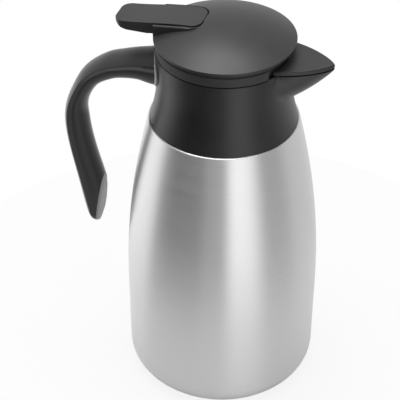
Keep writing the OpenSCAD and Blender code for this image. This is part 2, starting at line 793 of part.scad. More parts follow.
module dome_lid() {
    cheek_t = 3.4;
    color([0.22, 0.22, 0.23]) difference() {
        union() {
            difference() {
                union() {
                    intersection() {
                        dome_solid(0);
                        rod(dome_r + 1, dome_z, dome_top_z + 1);
                    }
                    saddle_block();
                }
                intersection() {
                    dome_solid(skin_t);
                    rod(skirt_r - skirt_t, dome_z - 2, dome_top_z + 1);
                }
            }
            ring(skirt_r - skirt_t, skirt_r, plate_top_z, dome_z + 0.6);
            intersection() {
                union() {
                    for (a = lid_screw_angles) rotate([0, 0, a]) translate([lid_screw_x, 0, 0])
                        rod(post_r, plate_top_z, dome_top_z);
                    for (side = [-1, 1])
                        translate([-pin_x - 4, side * (lever_slot + cheek_t / 2) - cheek_t / 2,
                            pocket_z]) cube([8, cheek_t, 12]);
                }
                union() {
                    intersection() {
                        dome_solid(0.5);
                        rod(dome_r, dome_z, dome_top_z);
                    }
                    rod(skirt_r, plate_top_z, dome_z);
                }
            }
        }
        translate([0, 0, pocket_z]) linear_extrude(40)
            pocket_plan(lever_slot, lever_front_x - lever_gap, dome_r + 10,
                lever_front_nose + lever_gap);
        translate([-pin_x, lever_slot + cheek_t - 0.6, pin_z]) rotate([90, 0, 0])
            cylinder(r = pin_r + 0.02, h = 2 * (lever_slot + cheek_t - 0.6));
        for (a = lid_screw_angles) rotate([0, 0, a]) translate([lid_screw_x, 0, 0])
            rod(lid_screw_r + 0.02, plate_top_z - 1, plate_top_z + lid_screw_depth + lid_screw_room);
    }
}

module lid_screws() {
    head_r = 2.6;
    head_h = 1.6;
    color("lightgray") for (a = lid_screw_angles) rotate([0, 0, a])
        translate([lid_screw_x, 0, 0]) union() {
            rod(lid_screw_r, plate_z - head_h, plate_top_z + lid_screw_depth);
            rod(head_r, plate_z - head_h, plate_z);
        }
}

pin_half = lever_slot + 2.6;
module lever_pin() {
    color("lightgray") translate([-pin_x, pin_half, pin_z]) rotate([90, 0, 0])
        cylinder(r = pin_r, h = 2 * pin_half);
}

// Thumb lever: a see-saw on the pin, with a fork inside the dome that lifts the stem

lever_under_z = dome_z + 1.8;
fork_half = 6;
fork_slot = stem_r + 0.4;
hub_pin_r = 3.1;

module lever_plan() {
    hull() {
        for (side = [-1, 1]) {
            translate([-lever_front_x - lever_front_nose, side * (lever_half_w - lever_front_nose)])
                circle(r = lever_front_nose, $fn = 48);
            translate([-dome_r + 4, side * (lever_half_w - 1)]) circle(r = 1, $fn = 16);
            translate([-lever_back_x + lever_back_nose,
                side * (lever_back_half_w - lever_back_nose)])
                circle(r = lever_back_nose, $fn = 48);
        }
    }
}

module thumb_lever() {
    arm_z = fork_top_z - 4.4;
    under_back_z = lever_back_z - lever_t;
    color([0.24, 0.24, 0.25]) difference() {
        union() {
            intersection() {
                translate([0, 0, dome_z - 12]) linear_extrude(40) lever_plan();
                translate([0, 30, 0]) rotate([90, 0, 0]) linear_extrude(60) difference() {
                    lever_side(0, dome_z - 8, 0);
                    polygon([
                        [-lever_front_x + 1, dome_z - 10], [-lever_front_x + 1, dome_top_z - 7.4],
                        [-lever_front_x - 6, dome_top_z - 8.6], [-pin_x + 6, lever_under_z],
                        [-dome_r, lever_under_z], [-dome_r - 2.5, under_back_z],
                        [-lever_back_x + 9, under_back_z], [-lever_back_x + 5, under_back_z + 1],
                        [-lever_back_x + 2, under_back_z + 3], [-lever_back_x - 1, under_back_z + 6],
                        [-lever_back_x - 1, dome_z - 10]]);
                }
            }
            translate([-pin_x, lever_half_w, pin_z]) rotate([90, 0, 0])
                cylinder(r = hub_pin_r, h = 2 * lever_half_w);
            translate([0, fork_half, 0]) rotate([90, 0, 0]) linear_extrude(2 * fork_half) polygon([
                [-lever_front_x - 14, lever_front_z - 4], [-lever_front_x - 5, dome_top_z - 8],
                [-lever_front_x + 1, fork_top_z + 1.4], [-6, fork_top_z], [3.6, fork_top_z],
                [3.6, arm_z], [-8, arm_z], [-lever_front_x - 9, lever_under_z - 2.4],
                [-lever_front_x - 14, lever_under_z]]);
        }
        translate([-pin_x, lever_half_w + 1, pin_z]) rotate([90, 0, 0])
            cylinder(r = pin_r + fit, h = 2 * lever_half_w + 2);
        translate([-5.2, -fork_slot, arm_z - 1]) cube([20, 2 * fork_slot, 12]);
    }
}

outer_shell();
inner_vessel();
base_disc();
vacuum_seal_cap();
getter_tablet();
collar();
collar_gasket();
rim_ring();
spout_cover();
handle();
handle_end_cap();
handle_screws();
neck_seal();
stopper_barrel();
stopper_plate();
stopper_cup();
top_gasket();
valve_poppet();
poppet_washer();
valve_stem();
spring_clip();
lift_pin();
return_spring();
dome_lid();
lid_screws();
lever_pin();
thumb_lever();
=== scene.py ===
import bpy
import bmesh
import math
from mathutils import Matrix, Vector


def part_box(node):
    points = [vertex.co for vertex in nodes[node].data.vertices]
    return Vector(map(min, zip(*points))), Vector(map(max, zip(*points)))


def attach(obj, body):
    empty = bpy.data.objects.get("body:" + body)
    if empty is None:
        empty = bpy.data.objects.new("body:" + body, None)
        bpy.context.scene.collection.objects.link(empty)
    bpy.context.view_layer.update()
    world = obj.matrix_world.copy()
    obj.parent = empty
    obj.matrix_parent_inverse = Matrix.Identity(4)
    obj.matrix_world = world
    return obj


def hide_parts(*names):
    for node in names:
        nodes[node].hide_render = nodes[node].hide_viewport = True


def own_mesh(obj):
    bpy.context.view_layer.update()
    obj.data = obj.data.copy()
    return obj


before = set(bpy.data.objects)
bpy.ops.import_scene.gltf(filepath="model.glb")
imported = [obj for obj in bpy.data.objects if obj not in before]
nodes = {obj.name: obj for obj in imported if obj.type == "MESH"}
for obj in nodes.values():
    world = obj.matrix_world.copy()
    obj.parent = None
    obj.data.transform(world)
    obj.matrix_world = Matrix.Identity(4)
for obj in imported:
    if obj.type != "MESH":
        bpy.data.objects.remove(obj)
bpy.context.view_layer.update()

# Camera of the photograph, taken as 400 x 400
FOCAL_PX = 1298.94
CAM_AT = Vector((0.2025, -0.6964, 0.7134))
CAM_FWD = Vector((-0.23600, 0.74851, -0.61971))
CAM_UP = Vector((-0.18635, 0.59103, 0.78483))


def add_camera():
    data = bpy.data.cameras.new("camera")
    data.sensor_width = 36.0
    data.lens = FOCAL_PX / 400.0 * 36.0
    data.clip_start = 0.01
    data.clip_end = 20.0
    cam = bpy.data.objects.new("camera", data)
    bpy.context.scene.collection.objects.link(cam)
    back = -CAM_FWD.normalized()
    up = (CAM_UP - back * CAM_UP.dot(back)).normalized()
    right = up.cross(back)
    rot = Matrix((right, up, back)).transposed().to_4x4()
    cam.matrix_world = Matrix.Translation(CAM_AT) @ rot
    bpy.context.scene.camera = cam


add_camera()
bpy.context.scene.view_settings.view_transform = "Standard"


# Materials ---------------------------------------------------------------

class Mat:
    """A node material with short calls for its parts."""

    def __init__(self, name):
        self.mat = bpy.data.materials.new(name)
        self.mat.use_nodes = True
        self.tree = self.mat.node_tree
        self.tree.nodes.clear()
        self.out = self.node("ShaderNodeOutputMaterial")
        self.bsdf = self.node("ShaderNodeBsdfPrincipled")
        self.link(self.bsdf, "BSDF", self.out, "Surface")

    def node(self, kind, **values):
        n = self.tree.nodes.new(kind)
        for key, value in values.items():
            if key in n.inputs:
                n.inputs[key].default_value = value
            else:
                setattr(n, key, value)
        return n

    def link(self, a, out, b, inp):
        self.tree.links.new(a.outputs[out], b.inputs[inp])

    def set(self, **values):
        for key, value in values.items():
            self.bsdf.inputs[key.replace("_", " ")].default_value = value

    def mapped(self, scale):
        coord = self.node("ShaderNodeTexCoord")
        mapping = self.node("ShaderNodeMapping")
        mapping.inputs["Scale"].default_value = scale
        self.link(coord, "Object", mapping, "Vector")
        return mapping

    def noise(self, scale, detail=2.0, roughness=0.5, squeeze=(1, 1, 1)):
        mapping = self.mapped(squeeze)
        n = self.node("ShaderNodeTexNoise")
        n.inputs["Scale"].default_value = scale
        n.inputs["Detail"].default_value = detail
        n.inputs["Roughness"].default_value = roughness
        self.link(mapping, "Vector", n, "Vector")
        return n

    def ranged(self, source, low, high, out="Fac"):
        r = self.node("ShaderNodeMapRange")
        r.inputs["From Min"].default_value = 0.3
        r.inputs["From Max"].default_value = 0.7
        r.inputs["To Min"].default_value = low
        r.inputs["To Max"].default_value = high
        self.link(source, out, r, "Value")
        return r

    def tinted(self, source, dark, light, out="Fac"):
        ramp = self.node("ShaderNodeValToRGB")
        ramp.color_ramp.elements[0].position = 0.3
        ramp.color_ramp.elements[1].position = 0.7
        ramp.color_ramp.elements[0].color = (*dark, 1)
        ramp.color_ramp.elements[1].color = (*light, 1)
        self.link(source, out, ramp, "Fac")
        self.link(ramp, "Color", self.bsdf, "Base Color")
        return ramp

    def bump(self, source, strength, distance, out="Fac", base=None):
        b = self.node("ShaderNodeBump")
        b.inputs["Strength"].default_value = strength
        b.inputs["Distance"].default_value = distance
        self.link(source, out, b, "Height")
        if base is not None:
            self.link(base, "Normal", b, "Normal")
        self.link(b, "Normal", self.bsdf, "Normal")
        return b

    def rounded(self, radius):
        n = self.node("ShaderNodeBevel", samples=4)
        n.inputs["Radius"].default_value = radius
        return n


def plastic(name, dark, light, rough, grain=900.0, edge=0.0004, sheen=0.0):
    """Moulded plastic: faint mottling, a fine grain, and edges that look a little rounded."""
    m = Mat(name)
    broad = m.noise(35.0, 3.0)
    fine = m.noise(grain, 2.0, 0.6)
    m.tinted(broad, dark, light)
    r = m.ranged(broad, rough - 0.03, rough + 0.04)
    m.link(r, "Result", m.bsdf, "Roughness")
    m.bump(fine, 0.25, 0.00012, base=m.rounded(edge))
    m.set(IOR=1.5, Sheen_Weight=sheen, Sheen_Roughness=0.35)
    return m.mat


def steel(name, tone, rough, anisotropic, brush=2600.0):
    """Steel brushed round the upright axis."""
    m = Mat(name)
    lines = m.noise(1.0, 3.0, 0.7, squeeze=(14.0, 14.0, brush))
    patches = m.noise(18.0, 2.0)
    m.tinted(lines, tuple(c * 0.93 for c in tone), tone)
    add = m.node("ShaderNodeMath", operation="MULTIPLY_ADD")
    r = m.ranged(lines, rough - 0.05, rough + 0.06)
    m.link(patches, "Fac", add, 0)
    add.inputs[1].default_value = 0.04
    m.link(r, "Result", add, 2)
    m.link(add, "Value", m.bsdf, "Roughness")
    m.bump(lines, 0.10, 0.00006, base=m.rounded(0.0003))
    tangent = m.node("ShaderNodeTangent", direction_type="RADIAL", axis="Z")
    m.link(tangent, "Tangent", m.bsdf, "Tangent")
    m.set(Metallic=1.0, Anisotropic=anisotropic, Anisotropic_Rotation=0.25)
    return m.mat


def rubber(name, dark, light, shine=0.5):
    """Dull, finely pitted rubber; shine is its specular level."""
    m = Mat(name)
    m.set(Specular_IOR_Level=shine)
    n = m.noise(260.0, 3.0)
    m.tinted(n, dark, light)
    r = m.ranged(n, 0.55, 0.68)
    m.link(r, "Result", m.bsdf, "Roughness")
    m.bump(n, 0.15, 0.0001, base=m.rounded(0.0003))
    return m.mat


STEEL_TONE = (0.76, 0.76, 0.765)
body_steel = steel("body_steel", STEEL_TONE, 0.36, 0.85)
liner_steel = steel("liner_steel", (0.62, 0.62, 0.62), 0.30, 0.6, 1800.0)
wire_steel = steel("wire_steel", (0.60, 0.60, 0.61), 0.25, 0.3, 900.0)
collar_black = plastic("collar_black", (0.012, 0.012, 0.013), (0.016, 0.016, 0.017), 0.36)
ring_black = plastic("ring_black", (0.020, 0.020, 0.021), (0.026, 0.026, 0.027), 0.56)
lid_black = plastic("lid_black", (0.016, 0.016, 0.017), (0.022, 0.022, 0.023), 0.44)
lever_black = plastic("lever_black", (0.016, 0.016, 0.017), (0.022, 0.022, 0.023), 0.44)
handle_black = plastic("handle_black", (0.014, 0.014, 0.015), (0.019, 0.019, 0.020), 0.46,
                       sheen=0.45)
cap_grey = plastic("cap_grey", (0.30, 0.30, 0.305), (0.34, 0.34, 0.345), 0.45)
stopper_black = plastic("stopper_black", (0.014, 0.014, 0.015), (0.020, 0.020, 0.021), 0.40)
silicone_grey = rubber("silicone_grey", (0.15, 0.15, 0.155), (0.19, 0.19, 0.195))
# Darker copy of the handle's plastic for its inner face: painted shade on the side that faces down
# and in
grip_inner_shade = plastic("grip_inner_shade", (0.008, 0.008, 0.0085), (0.012, 0.012, 0.0125), 0.5,
                     sheen=1.0)
# Near-black, almost unreflecting material for the painted shadow lines in the gaps between parts
painted_shadow_black = rubber("painted_shadow_black", (0.002, 0.002, 0.002), (0.004, 0.004, 0.004), 0.05)

FINISH = {
    "outer_shell": body_steel, "inner_vessel": liner_steel, "base_disc": liner_steel,
    "vacuum_seal_cap": liner_steel, "getter_tablet": wire_steel,
    "collar": collar_black, "rim_ring": ring_black, "spout_cover": lid_black,
    "collar_gasket": silicone_grey, "handle": handle_black, "handle_end_cap": cap_grey,
    "handle_screws": wire_steel, "neck_seal": silicone_grey,
    "stopper_barrel": stopper_black, "stopper_plate": stopper_black,
    "stopper_cup": stopper_black, "top_gasket": silicone_grey,
    "valve_poppet": stopper_black, "poppet_washer": silicone_grey,
    "valve_stem": wire_steel, "spring_clip": wire_steel, "lift_pin": wire_steel,
    "return_spring": wire_steel, "dome_lid": lid_black, "lid_screws": wire_steel,
    "lever_pin": wire_steel, "thumb_lever": lever_black,
}
for name, obj in nodes.items():
    obj.data.materials.clear()
    obj.data.materials.append(FINISH.get(name, lid_black))


# Pieces that carry finer form than the CAD solids -------------------------

MM = 0.001


def add_mesh(name, verts, faces, mats, body, face_mats=None, sharp=35.0):
    """A smooth piece from points in millimetres, riding on a body; sharp is in degrees."""
    mesh = bpy.data.meshes.new(name)
    mesh.from_pydata([tuple(c * MM for c in v) for v in verts], [], faces)
    for m in mats:
        mesh.materials.append(m)
    if face_mats:
        mesh.polygons.foreach_set("material_index", face_mats)
    bm = bmesh.new()
    bm.from_mesh(mesh)
    bmesh.ops.remove_doubles(bm, verts=bm.verts, dist=1e-6)
    bmesh.ops.recalc_face_normals(bm, faces=bm.faces)
    for e in bm.edges:
        e.smooth = len(e.link_faces) != 2 or e.calc_face_angle(0.0) < math.radians(sharp)
    for f in bm.faces:
        f.smooth = True
    bm.to_mesh(mesh)
    bm.free()
    obj = bpy.data.objects.new(name, mesh)
    bpy.context.scene.collection.objects.link(obj)
    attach(obj, body)
    return obj


def catmull(points, steps):
    """A smooth curve through the points, with so many steps between each two."""
    out = []
    n = len(points)
    for i in range(n - 1):
        a, b, c, d = (points[max(0, i - 1)], points[i], points[i + 1], points[min(n - 1, i + 2)])
        for k in range(steps):
            t = k / steps
            out.append([0.5 * (2 * q + (r - p) * t + (2 * p - 5 * q + 4 * r - u) * t * t
                               + (3 * q - p - 3 * r + u) * t ** 3)
                        for p, q, r, u in zip(a, b, c, d)])
    out.append(list(points[-1]))
    return out


def smoothed(rows, passes):
    """Rows evened out with their neighbours; the first and last stay."""
    for _ in range(passes):
        rows = [rows[0]] + [[0.25 * p + 0.5 * q + 0.25 * r for p, q, r in zip(a, b, c)]
                            for a, b, c in zip(rows, rows[1:], rows[2:])] + [rows[-1]]
    return rows


# Heights and radii of the CAD that the pieces sit on, in millimetres
SHOULDER_Z, COLLAR_TOP_Z = 214.6, 265.3
COLLAR_R, COLLAR_FOOT_R, FLARE_H = 45.0, 50.3, 33.4

# Grip, in millimetres: its line as (distance behind the axis, height, half depth)
GRIP_LINE = [(41.0, 245.1, 14.4), (50.0, 244.1, 13.4), (60.0, 243.7, 11.1), (71.0, 241.5, 9.5),
             (81.0, 238.2, 8.8), (94.0, 229.3, 7.6), (102.4, 216.2, 6.8), (107.0, 203.2, 7.2),
             (107.5, 190.3, 8.2), (105.9, 175.1, 8.5), (102.7, 158.3, 8.9), (98.9, 141.2, 9.6),
             (95.3, 123.1, 9.9), (93.0, 111.0, 9.6), (91.4, 101.6, 9.4)]
GRIP_POINTS = 72
GRIP_HALF_W = 13.0
GRIP_FLARE, GRIP_FLARE_RINGS = 0.22, 24.0
# Where on the section the outer face ends (as a sine), and how the inner face narrows from there
GRIP_CREASE, CREASE_SPAN, INNER_NARROWER = 0.42, 0.34, 0.23
RIDGE_HIGH, RIDGE_AT, RIDGE_WIDE = 0.035, 0.05, 0.07
# Heights at which the tip starts to narrow and to thin, and how far below that it would end
TIP_WIDTH_Z, TIP_WIDTH_FALL = 115.0, 14.4
TIP_DEPTH_Z, TIP_DEPTH_FALL = 106.0, 4.6
TIP_LEAST, TIP_LEAN = 0.02, 0.75
# The slanted cut that the end cap closes; the cut stays below the arch
CUT_AT = (-92.3, 0.0, 125.0)
CUT_LEAN = math.radians(8.0)
CUT_BELOW = 170.0
CAP_INSET, CAP_PROUD, CAP_SUNK = 0.9, 0.25, 1.0
# Crown of the cap, ring by ring: (share by which it draws in, rise in millimetres)
CAP_CROWN = [(0.027, 0.45), (0.063, 0.75), (0.135, 1.05), (0.225, 1.2)]


def grip_rings(inset):
    """Sections along the grip, each a closed ring of points."""
    line = smoothed(catmull(GRIP_LINE, 10), 4)
    rings = []
    for k, (x, z, depth) in enumerate(line):
        a, b = line[max(0, k - 1)], line[min(len(line) - 1, k + 1)]
        dx, dz = b[0] - a[0], b[1] - a[1]
        size = math.hypot(dx, dz)
        dx, dz = dx / size, dz / size
        flare = 1 + GRIP_FLARE * max(0.0, 1 - k / GRIP_FLARE_RINGS) ** 2
        tip_w = 1 - max(0.0, (TIP_WIDTH_Z - z) / TIP_WIDTH_FALL) ** 2
        thinned = 1 - max(0.0, (TIP_DEPTH_Z - z) / TIP_DEPTH_FALL) ** 2
        tip_d = math.sqrt(max(TIP_LEAST, thinned))
        shift = (1 - tip_d) * TIP_LEAN * depth
        ring = []
        for j in range(GRIP_POINTS):
            turn = 2 * math.pi * j / GRIP_POINTS
            s, c = math.sin(turn), math.cos(turn)
            low = min(1.0, max(0.0, (GRIP_CREASE - s) / CREASE_SPAN))
            ridge = RIDGE_HIGH * math.exp(-((s - GRIP_CREASE - RIDGE_AT) / RIDGE_WIDE) ** 2)
            narrow = 1 - INNER_NARROWER * low + ridge
            u = (GRIP_HALF_W * flare - inset) * c * narrow * tip_w
            v = (depth - inset) * s * tip_d + shift
            ring.append((-(x - dz * v), u, z + dx * v))
        rings.append(ring)
    return rings


def flat_list(rings):
    return [v for ring in rings for v in ring]


def ring_faces(rings, count):
    """Faces of a tube of so many rings, closed at both ends."""
    faces = []
    for k in range(rings - 1):
        for j in range(count):
            a, b = k * count + j, k * count + (j + 1) % count
            faces.append((a, b, b + count, a + count))
    faces.append(tuple(reversed(range(count))))
    faces.append(tuple(range((rings - 1) * count, rings * count)))
    return faces


def cut_piece(obj, at, normal):
    """Takes away what lies beyond a plane, below the arch, and closes the cut."""
    bm = bmesh.new()
    bm.from_mesh(obj.data)

    def low(face):
        return face.calc_center_median().z < CUT_BELOW * MM

    faces = [f for f in bm.faces if low(f)]
    edges = [e for e in bm.edges if any(low(f) for f in e.link_faces)]
    verts = [v for v in bm.verts if any(low(f) for f in v.link_faces)]
    got = bmesh.ops.bisect_plane(bm, geom=verts + edges + faces, dist=1e-7,
                                 plane_co=Vector(at) * MM, plane_no=normal, clear_outer=True)
    edges = [e for e in got["geom_cut"] if isinstance(e, bmesh.types.BMEdge)]
    bmesh.ops.contextual_create(bm, geom=edges)
    for e in edges:
        e.smooth = False
    bm.to_mesh(obj.data)
    bm.free()


def crown_cap(obj, at, normal):
    """Swells the flat outer face of the end cap into a shallow crown."""
    bm = bmesh.new()
    bm.from_mesh(obj.data)
    face = max(bm.faces, key=lambda f: f.calc_area() * f.normal.dot(normal))
    centre = face.calc_center_median()
    for share, rise in CAP_CROWN:
        bmesh.ops.inset_individual(bm, faces=[face], thickness=0.0)
        for v in face.verts:
            v.co = centre + (v.co - centre) * (1 - share)
            v.co += normal * (rise * MM - (v.co - Vector(at) * MM).dot(normal))
    for f in bm.faces:
        f.smooth = True
    bm.to_mesh(obj.data)
    bm.free()


def add_grip():
    """The handle: a crowned outer face, a crease, and a narrower inner face."""
    rings = grip_rings(0.0)
    faces = ring_faces(len(rings), GRIP_POINTS)
    # The inner faces take the darker copy of the plastic, as painted shade
    which = []
    for f in faces:
        turn = 2 * math.pi * ((f[0] % GRIP_POINTS) + 0.5) / GRIP_POINTS
        outer = len(f) == 4 and math.sin(turn) > GRIP_CREASE
        which.append(0 if outer else 1)
    grip = add_mesh("handle_grip", flat_list(rings), faces, [handle_black, grip_inner_shade], "carafe",
                    face_mats=which, sharp=50.0)
    normal = Vector((math.cos(CUT_LEAN), 0, -math.sin(CUT_LEAN)))
    cut_piece(grip, CUT_AT, normal)
    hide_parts("handle")
    rings = [ring for ring in grip_rings(CAP_INSET) if max(v[2] for v in ring) < CUT_BELOW]
    cap = add_mesh("handle_cap", flat_list(rings), ring_faces(len(rings), GRIP_POINTS),
                   [cap_grey], "carafe", sharp=50.0)
    out = Vector(CUT_AT) + normal * CAP_PROUD
    cut_piece(cap, out, normal)
    cut_piece(cap, Vector(CUT_AT) - normal * CAP_SUNK, -normal)
    crown_cap(cap, out, normal)
    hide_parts("handle_end_cap")


def collar_at(z):
    """Outer radius of the collar at a height."""
    t = min(1.0, max(0.0, (z - SHOULDER_Z) / FLARE_H))
    return COLLAR_R + (COLLAR_FOOT_R - COLLAR_R) * (1 - t) ** 2


# Pad at the handle's root, in millimetres: its steps outwards as shares of its size
PAD_HALF_W, PAD_HALF_H, PAD_Z, PAD_THICK = 25.5, 16.5, 251.7, 1.3
PAD_STEPS = [0.0, 0.3, 0.6, 0.8, 0.9, 0.93, 0.955, 0.975, 0.99, 1.0, 1.004]
PAD_ROUND_FROM, PAD_SUNK, PAD_TOP_GAP, PAD_AROUND = 0.93, 0.4, 0.4, 96


def add_pad():
    """Oval pad that spreads the handle's root over the collar, rounded at its edge."""
    verts, faces = [], []
    for share in PAD_STEPS:
        edge = min(1.0, max(0.0, (share - PAD_ROUND_FROM) / (1 - PAD_ROUND_FROM)))
        over = PAD_THICK * math.sqrt(max(0.0, 1 - edge * edge)) if share <= 1.0 else -PAD_SUNK
        for j in range(PAD_AROUND):
            a = 2 * math.pi * j / PAD_AROUND
            y = PAD_HALF_W * share * math.cos(a)
            z = min(PAD_Z + PAD_HALF_H * share * math.sin(a), COLLAR_TOP_Z - PAD_TOP_GAP)
            r = collar_at(z) + over
            verts.append((-math.sqrt(r * r - y * y), y, z))
    for i in range(len(PAD_STEPS) - 1):
        for j in range(PAD_AROUND):
            a, b = i * PAD_AROUND + j, i * PAD_AROUND + (j + 1) % PAD_AROUND
            faces.append((a, b, b + PAD_AROUND, a + PAD_AROUND))
    pad = add_mesh("handle_pad", verts, faces, [handle_black], "carafe",
                   sharp=50.0)
    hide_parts("handle")


def swept(name, path, section, mat, body):
    """Section points (across, up) carried along an open path of (x, y, z)."""
    n, m = len(path), len(section)
    verts, faces = [], []
    for i, (x, y, z) in enumerate(path):
        a, b = path[max(0, i - 1)], path[min(n - 1, i + 1)]
        dx, dy = b[0] - a[0], b[1] - a[1]
        size = math.hypot(dx, dy)
        nx, ny = dy / size, -dx / size
        for across, up in section:
            verts.append((x + nx * across, y + ny * across, z + up))
    for i in range(n - 1):
        for j in range(m):
            a, b = i * m + j, i * m + (j + 1) % m
            faces.append((a, b, b + m, a + m))
    faces.append(tuple(range(m)))
    faces.append(tuple(reversed(range((n - 1) * m, n * m))))
    return add_mesh(name, verts, faces, [mat], body)


def oval(rx, ry, count=10):
    return [(rx * math.cos(2 * math.pi * j / count), ry * math.sin(2 * math.pi * j / count))
            for j in range(count)]


def arc_path(r, z, start, stop, count):
    """A level arc round the upright axis, from and to an angle in degrees."""
    turns = [math.radians(start + (stop - start) * i / count) for i in range(count + 1)]
    return [(r * math.cos(a), r * math.sin(a), z) for a in turns]


# Spout, in millimetres; its open angle is where the rim ring stops on each side
SPOUT_ROOT_X, SPOUT_REACH, SPOUT_HALF = 30.0, 73.2, 21.5
SPOUT_OPEN_DEG = 36.5
COVER_FROM_X = 41.0
# Where the painted shadow line under the spout cover starts, and how far in from the outline it
# lies
SHADOW_LINE_FROM_X, SHADOW_LINE_INSET = 41.5, 0.35
SKIN_ROOT_TURN, SKIN_ROOT_LOW, SKIN_TIP_INSET = math.radians(33.0), 238.5, 0.35
SKIN_ACROSS, SKIN_DOWN, SKIN_SUNK = 64, 20, 0.4
SKIN_BLUNT, SKIN_BOW = 1.6, 1.6


def spout_half(x, inset=0.0):
    """Half width of the spout's outline at a distance from the axis."""
    reach, half = SPOUT_REACH - 1.6 * inset, SPOUT_HALF - inset
    t = min(1.0, max(0.0, (x - SPOUT_ROOT_X) / (reach - SPOUT_ROOT_X)))
    return half * (1 - t ** 1.8) ** 0.75


def spout_way(inset, from_x, z, count=26):
    """The spout's outline, from one side of its root round the tip to the other."""
    reach = SPOUT_REACH - 1.6 * inset
    xs = [from_x + (reach - from_x) * (1 - (1 - i / count) ** 1.9) for i in range(count + 1)]
    near = [(x, -spout_half(x, inset), z) for x in xs]
    far = [(x, spout_half(x, inset), z) for x in reversed(xs[:-1])]
    return near + far


def add_shadow_lines():
    """Painted shadow: near-black tubes laid where the mouldings meet, in place of the shade in
    those gaps.
    """
    ring = arc_path(COLLAR_R + 0.05, COLLAR_TOP_Z + 0.1, SPOUT_OPEN_DEG, 360 - SPOUT_OPEN_DEG, 180)
    swept("rim_shadow_line", ring, oval(0.5, 0.6), painted_shadow_black, "carafe")
    cover = spout_way(SHADOW_LINE_INSET, SHADOW_LINE_FROM_X, COLLAR_TOP_Z - 0.05)
    swept("cover_shadow_line", cover, oval(0.5, 0.65), painted_shadow_black, "carafe")


def add_spout_skin():
    """Boat-shaped underside of the spout, which runs out smoothly into the collar."""
    root_top, top = COLLAR_TOP_Z - 1.0, COLLAR_TOP_Z - 1.2
    tip_x = SPOUT_REACH - SKIN_TIP_INSET
    verts, faces = [], []
    for j in range(SKIN_ACROSS + 1):
        u = j / SKIN_ACROSS
        side, lift = -math.cos(math.pi * u), math.sin(math.pi * u)
        tx = COVER_FROM_X + (tip_x - COVER_FROM_X) * (1 - abs(side) ** 2.3)
        ty = 0.0 if j == SKIN_ACROSS // 2 else math.copysign(spout_half(tx, 0.2), side)
        turn = SKIN_ROOT_TURN * side
        rz = root_top - (root_top - SKIN_ROOT_LOW) * lift ** 0.8
        r = collar_at(rz) - SKIN_SUNK
        rx, ry = r * math.cos(turn), r * math.sin(turn)
        verts.append((tx, ty, COLLAR_TOP_Z - 0.3))
        for k in range(SKIN_DOWN + 1):
            t = k / SKIN_DOWN
            h = 1 - (1 - t) ** 1.25
            blunt = SKIN_BLUNT * (1 - math.exp(-8 * t)) * lift
            bow = SKIN_BOW * math.sin(math.pi * t) * lift
            verts.append((tx + (rx - tx) * h + bow * 0.5, ty + (ry - ty) * h,
                          top + (rz - top) * t - (blunt + bow) * (1 - t ** 3)))
    rows = SKIN_DOWN + 2
    for j in range(SKIN_ACROSS):
        for k in range(rows - 1):
            a, b = j * rows + k, (j + 1) * rows + k
            faces.append((a, b, b + 1, a + 1))
    add_mesh("spout_skin", verts, faces, [collar_black], "carafe", sharp=60.0)


# Lever and dome, in millimetres; x is measured from the axis towards the handle
LEVER_FRONT_X, LEVER_HALF, LEVER_NOSE, DOME_R = 13.8, 12.5, 7.5, 46.8
LEVER_BACK_X, LEVER_BACK_Z, LEVER_FRONT_Z = 73.0, 282.1, 287.1
DOME_BALL_R, DOME_BALL_Z = 100.98, 187.02
SADDLE_DROP = 0.4
# Sizes of the near-black strip of painted shadow round the lever, in millimetres
SHADOW_STRIP_OFF, SHADOW_STRIP_HALF, SHADOW_STRIP_DEEP, SHADOW_STRIP_PROUD = 0.7, 0.55, 1.6, 0.03
SHADOW_STRIP_FROM, SHADOW_STRIP_STEP, SHADOW_STRIP_STEPS, SHADOW_STRIP_ARC_STEPS = 1.6, 1.2, 21, 16


def saddle_top(x, y):
    """Height of the lid's surface beside the lever."""
    t = min(1.0, max(0.0, (LEVER_BACK_X - x) / (LEVER_BACK_X - LEVER_FRONT_X - 3)))
    rise = 0.5 - 0.5 * math.cos(math.pi * t ** 0.93)
    lever = LEVER_BACK_Z + (LEVER_FRONT_Z - LEVER_BACK_Z) * rise
    dome = DOME_BALL_Z + math.sqrt(DOME_BALL_R ** 2 - x * x - y * y)
    return max(lever - SADDLE_DROP, dome)


def add_lever_shadow():
    """Painted shadow: a near-black strip round the lever's opening, clear of the lever itself, in
    place of the shade in the gap.
    """
    half, nose = LEVER_HALF + SHADOW_STRIP_OFF, LEVER_NOSE + SHADOW_STRIP_OFF
    cx, cy = LEVER_FRONT_X + LEVER_NOSE, LEVER_HALF - LEVER_NOSE
    xs = [DOME_R - SHADOW_STRIP_FROM - i * SHADOW_STRIP_STEP for i in range(SHADOW_STRIP_STEPS)]
    straight = [(x, -half) for x in xs if x > cx]
    turns = [math.pi / 2 * i / SHADOW_STRIP_ARC_STEPS for i in range(SHADOW_STRIP_ARC_STEPS + 1)]
    corner = [(cx - nose * math.sin(a), -cy - nose * math.cos(a)) for a in turns]
    one_side = straight + corner
    around = one_side + [(x, -y) for x, y in reversed(one_side)]
    path = [(-x, y, saddle_top(x, y)) for x, y in around]
    section = [(-SHADOW_STRIP_HALF, -SHADOW_STRIP_DEEP), (SHADOW_STRIP_HALF, -SHADOW_STRIP_DEEP),
               (SHADOW_STRIP_HALF, SHADOW_STRIP_PROUD), (-SHADOW_STRIP_HALF, SHADOW_STRIP_PROUD)]
    swept("lever_shadow_strip", path, section, painted_shadow_black, "lid")


# Return spring, in millimetres; the turns don't count the closed one at each end
SPRING_R, SPRING_WIRE, SPRING_TURNS, END_CLIMB, VALVE_TRAVEL = 4.4, 0.4, 6, 0.92, 8.1
SPRING_STEPS, SPRING_SIDES = 40, 12


